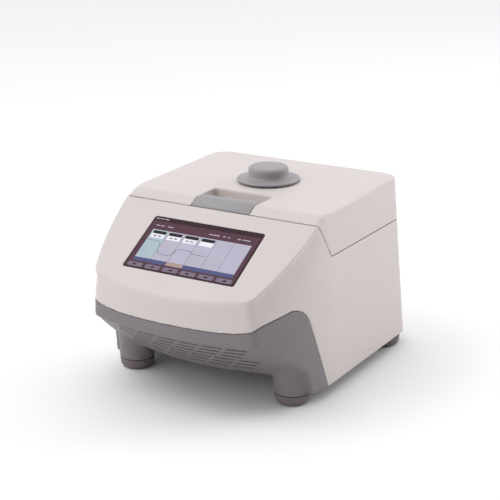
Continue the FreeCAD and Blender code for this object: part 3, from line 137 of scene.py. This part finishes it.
WHITE = (0.64, 0.582, 0.568)
GREY = (0.205, 0.183, 0.197)
LIGHT_GREY = (0.31, 0.294, 0.312)
looks = {
    "housing_white": moulded("housing_white", WHITE, depth=0.25, contrast=0.025, roughness=0.46),
    "chassis_grey": moulded("chassis_grey", GREY, depth=0.3, contrast=0.05, roughness=0.5),
    "trim_grey": moulded("trim_grey", LIGHT_GREY, depth=0.3, contrast=0.04, roughness=0.45),
    "foot_rubber": moulded("foot_rubber", (0.19, 0.155, 0.155), grain=0.0009, depth=0.5, contrast=0.12,
                           patch=0.012, roughness=0.75),
    "screen_glass": moulded("screen_glass", (0.035, 0.014, 0.022), depth=0.02, contrast=0.15,
                            roughness=0.14, spread=0.03, gloss=0.15),
    "display_black": moulded("display_black", (0.02, 0.02, 0.022), contrast=0.2, roughness=0.5),
    "panel_metal": moulded("panel_metal", (0.66, 0.61, 0.60), grain=0.0008, depth=0.5, contrast=0.05,
                           roughness=0.5),
    "aluminium": moulded("aluminium", (0.72, 0.73, 0.75), grain=0.0008, depth=0.3, contrast=0.08,
                         roughness=0.38, metal=1.0, stretch=(1, 6, 6), patch=0.02),
    "steel": moulded("steel", (0.6, 0.6, 0.6), grain=0.0007, depth=0.25, contrast=0.1, roughness=0.34,
                     metal=1.0, stretch=(1, 1, 5), patch=0.01),
    "brass": moulded("brass", (0.78, 0.57, 0.28), depth=0.2, contrast=0.1, roughness=0.3, metal=1.0,
                     patch=0.01),
    "black_plastic": moulded("black_plastic", (0.03, 0.03, 0.032), depth=0.4, contrast=0.2,
                             roughness=0.52, patch=0.02),
    "gasket_silicone": moulded("gasket_silicone", (0.45, 0.12, 0.09), depth=0.3, contrast=0.12,
                               roughness=0.65, patch=0.01),
    "ceramic_white": moulded("ceramic_white", (0.8, 0.8, 0.77), depth=0.2, contrast=0.05, roughness=0.6,
                             patch=0.01),
    "heater_film": moulded("heater_film", (0.42, 0.17, 0.05), depth=0.1, contrast=0.2, roughness=0.3,
                           patch=0.006),
    "insulation": moulded("insulation", (0.75, 0.73, 0.66), grain=0.0012, depth=0.9, contrast=0.1,
                          roughness=0.9, patch=0.008),
    "board_green": moulded("board_green", (0.03, 0.16, 0.06), depth=0.2, contrast=0.25, roughness=0.4,
                           patch=0.004),
    "component_black": moulded("component_black", (0.025, 0.025, 0.028), depth=0.4, contrast=0.2,
                               roughness=0.5, patch=0.005),
    "fuse_glass": moulded("fuse_glass", (0.7, 0.72, 0.72), depth=0.1, contrast=0.1, roughness=0.15,
                          patch=0.005),
}
for carried in nodes.values():
    for held in carried.material_slots:
        held.material = looks[held.material.name.split(".")[0]]


# Pieces

WELD = 0.02 * MM
FLAT_BELOW = radians(0.6)
SMOOTH_BELOW = radians(32)


def add_piece(name, bm, slot, body, *replaced, look=None):
    """A finished mesh as a piece that rides on a body, with its look and the CAD nodes it
    stands for."""
    mesh = bpy.data.meshes.new(name)
    bmesh.ops.recalc_face_normals(bm, faces=bm.faces)
    bm.to_mesh(mesh)
    bm.free()
    place_mesh(name, mesh, slot, body, *replaced, look=look)


def place_mesh(name, mesh, slot, body, *replaced, look=None, inside=None):
    """inside is the look of the faces that a cut made, which have material index 1."""
    mesh.shade_smooth()
    mesh.set_sharp_from_angle(angle=SMOOTH_BELOW)
    indices = [face.material_index for face in mesh.polygons] if inside else None
    mesh.materials.clear()
    mesh.materials.append(look or looks[slot])
    if inside:
        mesh.materials.append(inside)
        mesh.polygons.foreach_set("material_index", indices)
    piece = bpy.data.objects.new(name, mesh)
    bpy.context.scene.collection.objects.link(piece)
    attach(piece, body)
    if replaced:
        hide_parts(*replaced)


def cad_copy(node):
    """The node's mesh as an editable copy: welded, and with few triangles on its flat faces."""
    bm = bmesh.new()
    bm.from_mesh(nodes[node].data)
    bmesh.ops.remove_doubles(bm, verts=bm.verts, dist=WELD)
    bmesh.ops.dissolve_limit(bm, angle_limit=FLAT_BELOW, verts=bm.verts, edges=bm.edges)
    bmesh.ops.triangulate(bm, faces=bm.faces)
    return bm


def settled(work, *kinds_and_settings):
    """The mesh of a working object after some modifiers, each a kind and its settings."""
    bpy.context.scene.collection.objects.link(work)
    for kind, settings in kinds_and_settings:
        modifier = work.modifiers.new(kind, kind)
        for key, value in settings.items():
            setattr(modifier, key, value)
    evaluated = work.evaluated_get(bpy.context.evaluated_depsgraph_get())
    done = bpy.data.meshes.new_from_object(evaluated)
    bpy.data.objects.remove(work)
    return done


def with_modifiers(bm, *kinds_and_settings):
    """The same, from an editable mesh."""
    mesh = bpy.data.meshes.new("work")
    bm.to_mesh(mesh)
    bm.free()
    return settled(bpy.data.objects.new("work", mesh), *kinds_and_settings)


def fade(value, zero, one):
    """0 at one value and before it, 1 at another and past it, with a smooth step between."""
    share = max(0.0, min(1.0, (value - zero) / (one - zero)))
    return share * share * (3 - 2 * share)


def flowing(bm, voxel, softness, passes, *last):
    """A mesh remeshed evenly and then smoothed where softness(place) says, from 0 to 1. The whole
    gets a light smoothing as well, so no moulded edge is knife sharp."""
    mesh = with_modifiers(bm, ("REMESH", {"mode": "VOXEL", "voxel_size": voxel}))
    work = bpy.data.objects.new("work", mesh)
    flow = work.vertex_groups.new(name="flow")
    for vertex in mesh.vertices:
        share = softness(Vector((abs(vertex.co.x), vertex.co.y, vertex.co.z)))
        if share > 0.01:
            flow.add([vertex.index], share, "REPLACE")
    return settled(work, ("SMOOTH", {"factor": 0.5, "iterations": passes, "vertex_group": "flow"}),
                   ("SMOOTH", {"factor": 0.5, "iterations": 2}), *last)


def plain_softened(name, node, slot, body, reach):
    """A CAD node's shape with all its hard edges rounded alike."""
    bevel = {"limit_method": "ANGLE", "width": reach, "segments": 3, "use_clamp_overlap": True}
    place_mesh(name, with_modifiers(cad_copy(node), ("BEVEL", bevel)), slot, body, node)


# White shells: copies of the CAD's housing and lid, softened along their moulded edges

FASCIA_TILT = radians(30.4)
FASCIA_OUT = Vector((0, -sin(FASCIA_TILT), cos(FASCIA_TILT)))
GLASS_THICK = 1.4 * MM
SHELL_VOXEL = 1.25 * MM
SHELL_PASSES = 110
glass_low, glass_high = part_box("screen_glass")
glass_face = (glass_low + glass_high) / 2 + FASCIA_OUT * GLASS_THICK / 2

FRONT_BOW = 390 * MM
BOW_CENTRE = Vector((0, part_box("main_housing")[0].y + FRONT_BOW, 0))
LID_TOP_SLOPE = 0.02
LID_MIDDLE = Vector((0, 61.6, 230)) * MM
rise = FASCIA_OUT.y / -FASCIA_OUT.z
lid_level = LID_MIDDLE.z - LID_TOP_SLOPE * LID_MIDDLE.y
fold_y = (lid_level - glass_face.z + rise * glass_face.y) / (rise - LID_TOP_SLOPE)
FOLD = Vector((0, fold_y, glass_face.z + rise * (fold_y - glass_face.y)))


def behind_front(place):
    """How far a place is behind the bowed front wall."""
    return FRONT_BOW - (Vector((place.x, place.y, 0)) - BOW_CENTRE).length


def housing_softness(place):
    """Wide along the fascia's bowed lower edge, and slight along its sides."""
    near_face = fade(abs((place - glass_face).dot(FASCIA_OUT)), 15 * MM, 5 * MM)
    near_front = fade(behind_front(place), 15 * MM, 5 * MM)
    between_corners = fade(place.x, 106 * MM, 84 * MM)
    slight_outboard = 0.025 * fade(place.x, 92 * MM, 100 * MM)
    above_corner = fade(place.z, 124 * MM, 134 * MM)
    return near_face * max(near_front * between_corners, slight_outboard * above_corner)


UNDERCUT = 2.2 * MM


def undercut(mesh):
    """Draws the side walls in a little just below the fascia's rim, so that the rim stands out."""
    deepest = 7 * MM
    end = 36 * MM
    for vertex in mesh.vertices:
        below = -(vertex.co - glass_face).dot(FASCIA_OUT)
        side = abs(vertex.co.x)
        depth = fade(below, 0, deepest) * fade(below, end, deepest) * fade(side, 98 * MM, 112 * MM)
        depth *= fade(vertex.co.y, -50 * MM, -80 * MM)
        vertex.co.x -= UNDERCUT * depth * vertex.co.x / max(side, MM)


def lid_softness(place):
    """Wide along the fold from the lid's slope to its top, and small along its upper rim and the
    rear edge of the finger scoop."""
    near_fold = fade((Vector((0, place.y, place.z)) - FOLD).length, 18 * MM, 7 * MM)
    beside_latch = fade(place.x, 44 * MM, 52 * MM)
    upper = fade(place.z, 212 * MM, 220 * MM)
    side_rim = 0.045 * upper * fade(place.x, 124 * MM, 130 * MM)
    rear_rim = 0.07 * upper * fade(place.y, 140 * MM, 150 * MM)
    near_scoop = fade(abs(place.y - 2 * MM), 8 * MM, 3 * MM)
    above_scoop = fade(place.z, 219 * MM, 224 * MM)
    scoop_edge = 0.3 * near_scoop * above_scoop * fade(place.x, 56 * MM, 46 * MM)
    return max(near_fold * beside_latch, side_rim, rear_rim, scoop_edge)


housing = flowing(cad_copy("main_housing"), SHELL_VOXEL, housing_softness, SHELL_PASSES)
undercut(housing)
place_mesh("white_housing", housing, "housing_white", "base", "main_housing")
lid_cover = flowing(cad_copy("lid_shell"), SHELL_VOXEL, lid_softness, SHELL_PASSES)
place_mesh("lid_cover", lid_cover, "housing_white", "lid", "lid_shell")
plain_softened("latch_cover", "latch_lever", "trim_grey", "latch", 0.8 * MM)


# Knob and feet: turned from half sections

def turned(bm, profile, centre, steps=96):
    """Adds a turned solid: profile is radius and height from its axis at the bottom to the top."""
    start = [bm.verts.new(centre + Vector((radius, 0, height))) for radius, height in profile]
    edges = [bm.edges.new(pair) for pair in zip(start, start[1:])]
    bmesh.ops.spin(bm, geom=start + edges, cent=centre, axis=(0, 0, 1), angle=2 * pi, steps=steps,
                   use_merge=True)
    bmesh.ops.remove_doubles(bm, verts=bm.verts, dist=WELD / 4)


def arc(centre, radius, start, end, steps=8):
    """Points of an arc of a profile, from one angle to another in degrees."""
    turns = [radians(start + (end - start) * i / steps) for i in range(steps + 1)]
    return [(centre[0] + radius * cos(t), centre[1] + radius * sin(t)) for t in turns]


KNOB_RADIUS = 25.9 * MM
BRIM_LEVEL = 231.4 * MM
GROOVE_LONG = 7 * MM
GROOVE_WIDE = 1 * MM
GROOVE_THICK = 0.7 * MM


def knob():
    """A hat: a low brim, a hollow sweep up to the wall, a bevelled top, and a black bar for the pointer
    notch, whose darkness is painted shade.
    """
    low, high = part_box("knob")
    centre = Vector(((low.x + high.x) / 2, (low.y + high.y) / 2, 0))
    brim = (high.x - low.x) / 2
    wall = KNOB_RADIUS
    base = BRIM_LEVEL
    top = high.z
    sweep = 4.5 * MM
    edge = 0.6 * MM
    bevel = 2.6 * MM
    profile = [(0, base)] + arc((brim - edge, base + edge), edge, -90, 0)
    profile += arc((brim - 2 * edge, base + 2 * edge), 2 * edge, 0, 80)
    profile += [(wall + sweep + 1.5 * MM, base + 3.2 * MM)]
    profile += arc((wall + sweep, base + 3.4 * MM + sweep), sweep, 270, 182)
    profile += [(wall, top - bevel)] + arc((wall - edge, top - bevel), edge, 0, 40, 3)
    profile += [(wall - bevel, top - 0.4 * MM)]
    profile += arc((wall - 3.2 * MM, top - 0.9 * MM), 0.9 * MM, 50, 90, 4) + [(0, top)]
    bm = bmesh.new()
    turned(bm, profile, centre)
    add_piece("knob_hat", bm, "trim_grey", "knob", "knob")
    # The pointer notch is not cut: a black bar paints the shade in it.
    pointer = bmesh.new()
    middle = centre + Vector((-wall + 3.4 * MM + GROOVE_LONG / 2, 0, top - 0.4 * MM))
    size = Matrix.Diagonal((GROOVE_LONG, GROOVE_WIDE, GROOVE_THICK, 1))
    bmesh.ops.create_cube(pointer, size=1, matrix=Matrix.Translation(middle) @ size)
    bmesh.ops.bevel(pointer, geom=pointer.edges, offset=0.2 * MM, segments=2, profile=0.5,
                    affect="EDGES")
    add_piece("knob_notch_shade", pointer, "black_plastic", "knob")


knob()


FOOT_RADIUS = 22.1 * MM
FOOT_ROUND = 7 * MM


def feet(name, node):
    """Rubber feet: a flat sole, a round lower edge, a slight belly and a small step under the leg."""
    bm = bmesh.new()
    low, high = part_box(node)
    radius = FOOT_RADIUS
    top = high.z
    sole = radius - 0.5 * MM - FOOT_ROUND
    rim = 0.7 * MM
    step = radius - 1.8 * MM
    for side in (low.x + radius, high.x - radius):
        centre = Vector((side, (low.y + high.y) / 2, 0))
        profile = [(0, 0)] + arc((sole, FOOT_ROUND), FOOT_ROUND, -90, -12)
        profile += [(radius - 0.25 * MM, top - 4.5 * MM), (radius, top - 2.4 * MM)]
        profile += arc((radius - rim, top - 1.5 * MM), rim, 0, 90, 4)
        profile += [(step, top - 0.8 * MM), (step, top), (0, top)]
        turned(bm, profile, centre, steps=72)
    add_piece(name, bm, "foot_rubber", "base", node)


feet("front_rubber_feet", "front_feet")
feet("rear_rubber_feet", "rear_feet")


# Grey base: the chin and the legs flow into each other. The vents are filled before the smoothing
# and cut again after it, so that their edges stay crisp; their cut walls are painted black as shade.

BASE_VOXEL = 1.2 * MM
BASE_PASSES = 70
LEG_FOOT = Vector((115.0, -78.8, 14.3)) * MM
LEG_TOP = Vector((100.0, -105.0, 130.0)) * MM
CHIN_TOP = Vector((0, -178.0, 95.0)) * MM
CHIN_FOOT = Vector((0, -108.0, 34.0)) * MM
CHIN_THICK = 3 * MM
PLUG_WIDER = MM
PLUG_HIGHER = 1.4 * MM
VENT_ROWS = 6
VENT_COLUMNS = 6
VENT_LENGTH = 26 * MM
VENT_SPACE = 5 * MM
VENT_HEIGHT = 2.4 * MM
VENT_PITCH = 8 * MM
VENT_LOW = 46 * MM
VENT_SHIFT = 9 * MM
chin_down = (CHIN_FOOT - CHIN_TOP).normalized()
chin_out = Vector((0, chin_down.z, -chin_down.y))


def vent_solids(length, height, inner, outer):
    """A solid in each vent's place: its length, its height up the slope, and how far it reaches
    in and out of the chin's face."""
    bm = bmesh.new()
    pitch = VENT_LENGTH + VENT_SPACE
    for row in range(VENT_ROWS):
        level = VENT_LOW + row * VENT_PITCH + VENT_HEIGHT / 2
        middle = CHIN_FOOT + chin_down * ((level - CHIN_FOOT.z) / chin_down.z)
        start = (row % 3 - 1) * VENT_SHIFT - pitch * (VENT_COLUMNS - 1) / 2
        for column in range(VENT_COLUMNS):
            turn = Matrix.Rotation((start + column * pitch) / (BOW_CENTRE.y - middle.y), 4, "Z")
            to_place = Matrix.Translation(BOW_CENTRE) @ turn @ Matrix.Translation(-BOW_CENTRE)
            corners = []
            for depth in (-inner, outer):
                ring = []
                for side, way in ((1, 1), (-1, 1), (-1, -1), (1, -1)):
                    across = Vector((side * length / 2, 0, 0))
                    spot = middle + across + chin_down * (way * height / 2)
                    ring.append(bm.verts.new(to_place @ (spot + chin_out * depth)))
                corners.append(ring)
            bm.faces.new(corners[0])
            bm.faces.new(corners[1])
            for i in range(4):
                j = (i + 1) % 4
                bm.faces.new((corners[0][i], corners[0][j], corners[1][j], corners[1][i]))
    bmesh.ops.recalc_face_normals(bm, faces=bm.faces)
    return bm


def base_softness(place):
    """Full where the legs meet the chin, less at the sides' creases, and slight along the chin's
    upper edge."""
    axis = (LEG_TOP - LEG_FOOT).normalized()
    inboard = 0.2 + 0.8 * fade(abs(place.x), 143 * MM, 130 * MM)
    near_leg = fade((place - LEG_FOOT).cross(axis).length, 85 * MM, 50 * MM)
    above_foot = fade(place.z, 20 * MM, 34 * MM)
    below_top = fade(place.z, 108 * MM, 92 * MM)
    leg = inboard * near_leg * above_foot * below_top
    near_edge = fade(abs(place.z - CHIN_TOP.z + 2 * MM), 9 * MM, 4 * MM)
    return max(leg, 0.5 * near_edge * fade(place.y, -130 * MM, -150 * MM))


def grey_base():
    """The chin, legs and skirts as one flowing shell. The plugs are a little wider and higher than
    the vents, and stay just inside both faces of the wall."""
    whole = cad_copy("base_chassis")
    for face in whole.faces:
        face.material_index = 0
    slant = VENT_HEIGHT / -chin_down.z
    plugs = vent_solids(VENT_LENGTH + PLUG_WIDER, slant + PLUG_HIGHER, CHIN_THICK - 0.3 * MM,
                        -0.2 * MM)
    spare = bpy.data.meshes.new("plugs")
    plugs.to_mesh(spare)
    plugs.free()
    whole.from_mesh(spare)
    cutters = vent_solids(VENT_LENGTH, slant, 2 * CHIN_THICK, 2 * CHIN_THICK)
    cutter_mesh = bpy.data.meshes.new("cutters")
    cutters.to_mesh(cutter_mesh)
    cutters.free()
    # The cut walls of the vents take the black look: painted shade inside the slots of the grey chin.
    for face in cutter_mesh.polygons:
        face.material_index = 1
    outside = looks["chassis_grey"]
    inside = looks["black_plastic"]
    cutter_mesh.materials.append(outside)
    cutter_mesh.materials.append(inside)
    cutter = bpy.data.objects.new("cutters", cutter_mesh)
    bpy.context.scene.collection.objects.link(cutter)
    cut = {"operation": "DIFFERENCE", "object": cutter, "solver": "EXACT"}
    done = flowing(whole, BASE_VOXEL, base_softness, BASE_PASSES, ("BOOLEAN", cut))
    bpy.data.objects.remove(cutter)
    place_mesh("grey_base", done, "chassis_grey", "base", "base_chassis", inside=inside)


grey_base()


# Screen: dark glass, and a generic picture of a temperature run made of thin tiles

def flat_look(name, colour, **settings):
    """A colour seen through the glass."""
    return moulded(name, colour, grain=0.0003, depth=0.0, patch=0.02, roughness=0.16, gloss=0.15,
                   spread=0.02, **settings)


GLASS_WIDTH = glass_high.x - glass_low.x
GLASS_HEIGHT = 86 * MM
SCREEN = Matrix.Translation(glass_face) @ Matrix.Rotation(FASCIA_TILT, 4, "X")
SUNK = -0.1 * MM
LAYER = 0.03 * MM


def on_glass(x, y, level):
    """The place of a point x, y in mm from the glass's upper left corner, at a level over its face."""
    return SCREEN @ Vector((x * MM - GLASS_WIDTH / 2, GLASS_HEIGHT / 2 - y * MM, level))


def rounded(bm, left, top, width, height, corner, low, high, steps=5):
    """Adds a rounded tile to the screen. left and top are from the glass's upper left corner in mm,
    low and high from its face."""
    centres = [(left + width - corner, top + corner, 90), (left + corner, top + corner, 180),
               (left + corner, top + height - corner, 270),
               (left + width - corner, top + height - corner, 360)]
    ring = []
    for x, y, turn in centres:
        for dx, dy in arc((0, 0), corner, turn - 90, turn, steps):
            ring.append((x + dx, y - dy))
    levels = []
    for level in (low, high):
        levels.append([bm.verts.new(on_glass(x, y, level)) for x, y in ring])
    bm.faces.new(levels[0])
    bm.faces.new(levels[1])
    count = len(ring)
    for i in range(count):
        j = (i + 1) % count
        bm.faces.new((levels[0][i], levels[0][j], levels[1][j], levels[1][i]))


def tiles(name, look, layer, *places):
    """One colour of the picture. Each place is left, top, width, height and corner radius in mm, and
    each layer stands a hair above the one before it."""
    bm = bmesh.new()
    for left, top, width, height, corner in places:
        rounded(bm, left, top, width, height, corner, SUNK, layer * LAYER)
    add_piece(name, bm, "display_black", "base", look=look)


# Lengths of the picture are in millimetres from the glass's upper left corner.
WIDE = GLASS_WIDTH / MM
TALL = GLASS_HEIGHT / MM
COLUMNS = 6
FIELD_LEFT = 8.5
FIELD_TOP = 21.5
FIELD_RIGHT = 149.0
FIELD_BOTTOM = 68.5
FIELD_HIGH = FIELD_BOTTOM - FIELD_TOP
COLUMN = (FIELD_RIGHT - FIELD_LEFT) / COLUMNS
TAB_TOP = FIELD_TOP + 1.6


def screen():
    """Black glass with a plum ground, a pale field in six columns, four tabs, a strip and keys."""
    bm = bmesh.new()
    rounded(bm, 0, 0, WIDE, TALL, 3, -GLASS_THICK, 0)
    add_piece("touch_glass", bm, "screen_glass", "base", "screen_glass")
    plum = flat_look("screen_plum", (0.09, 0.038, 0.058), contrast=0.15)
    tiles("screen_ground", plum, 1, (2.2, 7.4, WIDE - 4.4, TALL - 9.6, 0.6))
    pale = flat_look("screen_pale", (0.42, 0.40, 0.5), contrast=0.08, emission=0.12)
    tiles("screen_field", pale, 2, (FIELD_LEFT, FIELD_TOP, FIELD_RIGHT - FIELD_LEFT, FIELD_HIGH, 0.2))
    mint = flat_look("screen_mint", (0.36, 0.45, 0.5), contrast=0.08, emission=0.12)
    tiles("screen_first_column", mint, 3, (FIELD_LEFT, FIELD_TOP, COLUMN, FIELD_HIGH, 0.2))
    line = flat_look("screen_line", (0.16, 0.15, 0.2), contrast=0.1)
    tiles("screen_dividers", line, 4,
          *[(FIELD_LEFT + COLUMN * i - 0.2, FIELD_TOP, 0.4, FIELD_HIGH, 0.1)
            for i in range(1, COLUMNS)])
    tab = COLUMN - 4.4
    tabs = [FIELD_LEFT + COLUMN * i + 2.2 for i in range(4)]
    white = flat_look("screen_white", (0.75, 0.73, 0.78), contrast=0.04, emission=0.1)
    tiles("screen_tab_boxes", white, 4, *[(left, TAB_TOP, tab, 12, 1.6) for left in tabs])
    dark = flat_look("screen_dark", (0.02, 0.015, 0.02), contrast=0.2)
    tiles("screen_tab_heads", dark, 5, *[(left, TAB_TOP, tab, 5, 1.6) for left in tabs])
    marks = flat_look("screen_marks", (0.5, 0.45, 0.52), contrast=0.1)
    bar_marks = [(3, 3, 6), (10, 3, 4), (15.5, 3, 6), (9, 14, 5), (15, 14, 6), (26, 14, 8),
                 (86, 14.4, 15), (106, 14.4, 3.4), (112.5, 14.4, 3.4), (126, 14.4, 5), (133, 14.4, 11)]
    tiles("screen_bar_marks", marks, 5,
          *[(left, top, width, 1.3, 0.5) for left, top, width in bar_marks])
    tiles("screen_tab_marks", line, 5,
          *[(left + tab * share, FIELD_TOP + 9.2, tab * 0.22, 1.8, 0.6)
            for left in tabs[:3] for share in (0.2, 0.55)])
    run = [(10, 39), (26, 39), (30, 43), (33.5, 56), (36.5, 58.8), (52, 58.8), (55.5, 55), (57.5, 48),
           (60, 46.2), (77, 46.2), (80, 50), (99, 50)]
    curve(run, line)
    strip = flat_look("screen_strip", (0.075, 0.085, 0.2), contrast=0.12, emission=0.1)
    tiles("screen_strip", strip, 2,
          (FIELD_LEFT, FIELD_BOTTOM, FIELD_RIGHT - FIELD_LEFT, 5.9, 0.2))
    amber = flat_look("screen_amber", (0.42, 0.3, 0.25), contrast=0.12)
    tiles("screen_strip_step", amber, 3,
          (FIELD_LEFT + 2 * COLUMN, FIELD_BOTTOM + 0.4, COLUMN, 5.1, 0.2))
    key = flat_look("screen_key", (0.2, 0.155, 0.22), contrast=0.12)
    pitch = (WIDE - 6) / COLUMNS
    keys = [3 + pitch * (i + 0.5) for i in range(COLUMNS)]
    tiles("screen_keys", key, 3, *[(middle - 10.6, 76.9, 21.2, 6.6, 2) for middle in keys])
    tiles("screen_key_marks", dark, 4, *[(middle - 3.6 + (i % 3), 79, 5, 2.4, 1.1)
                                         for i, middle in enumerate(keys)])


def curve(points, look):
    """The run's temperature line: one thin ribbon along the points, which are in mm on the glass."""
    bm = bmesh.new()
    half = 0.3
    rows = []
    for i, (x, y) in enumerate(points):
        before = Vector(points[max(0, i - 1)])
        after = Vector(points[min(len(points) - 1, i + 1)])
        along = (after - before).normalized()
        side = Vector((-along.y, along.x)) * half
        corners = []
        for level in (SUNK, 5 * LAYER):
            for sign in (-1, 1):
                u, v = x + sign * side.x, y + sign * side.y
                corners.append(bm.verts.new(on_glass(u, v, level)))
        rows.append((corners[0], corners[1], corners[3], corners[2]))
    for row, following in zip(rows, rows[1:]):
        for i in range(4):
            j = (i + 1) % 4
            bm.faces.new((row[i], row[j], following[j], following[i]))
    bm.faces.new(rows[0])
    bm.faces.new(rows[-1])
    add_piece("screen_curve", bm, "display_black", "base", look=look)


screen()


# Floor, light and backdrop

FLOOR_HALF = 6.0
floor_mesh = bmesh.new()
bmesh.ops.create_grid(floor_mesh, x_segments=2, y_segments=2, size=FLOOR_HALF)
floor_data = bpy.data.meshes.new("floor")
floor_mesh.to_mesh(floor_data)
floor_mesh.free()
floor = bpy.data.objects.new("floor", floor_data)
floor.data.materials.append(moulded("floor_white", (0.93, 0.93, 0.93), contrast=0.01,
                                    roughness=0.9, patch=0.5, depth=0.02))
bpy.context.scene.collection.objects.link(floor)

TOWARD_CARD = Vector((0.87, -0.50, 0.0))


def studio_world():
    """White all round, except that it fades to black toward a dark card at the front right."""
    world = bpy.data.worlds.new("studio")
    world.use_nodes = True
    tree = world.node_tree
    background = tree.nodes["Background"]
    background.inputs["Color"].default_value = (1, 1, 1, 1)
    direction = tree.nodes.new("ShaderNodeTexCoord")
    toward_card = tree.nodes.new("ShaderNodeVectorMath")
    toward_card.operation = "DOT_PRODUCT"
    toward_card.inputs[1].default_value = TOWARD_CARD
    strength = tree.nodes.new("ShaderNodeMapRange")
    strength.inputs["From Min"].default_value = 0.3
    strength.inputs["From Max"].default_value = 0.8
    strength.inputs["To Min"].default_value = 1.1
    strength.inputs["To Max"].default_value = 0.0
    tree.links.new(direction.outputs["Generated"], toward_card.inputs[0])
    tree.links.new(toward_card.outputs["Value"], strength.inputs["Value"])
    tree.links.new(strength.outputs[0], background.inputs["Strength"])
    bpy.context.scene.world = world


studio_world()
bpy.context.scene.view_settings.view_transform = "Standard"


def soft_light(name, place, aim, size, power):
    """A square area light that points from its place at its aim."""
    data = bpy.data.lights.new(name, "AREA")
    data.size = size
    data.energy = power
    light = bpy.data.objects.new(name, data)
    light.location = place
    light.rotation_euler = (Vector(aim) - Vector(place)).to_track_quat("-Z", "Y").to_euler()
    bpy.context.scene.collection.objects.link(light)


soft_light("key", (-1.2, -1.0, 2.4), (0, 0, 0.1), 1.6, 18)
soft_light("side_fill", (1.8, 2.2, 0.9), (0.1, 0.1, 0.1), 1.2, 27)
soft_light("front_fill", (0.4, -2.4, 1.0), (0, 0, 0.1), 1.5, 3)
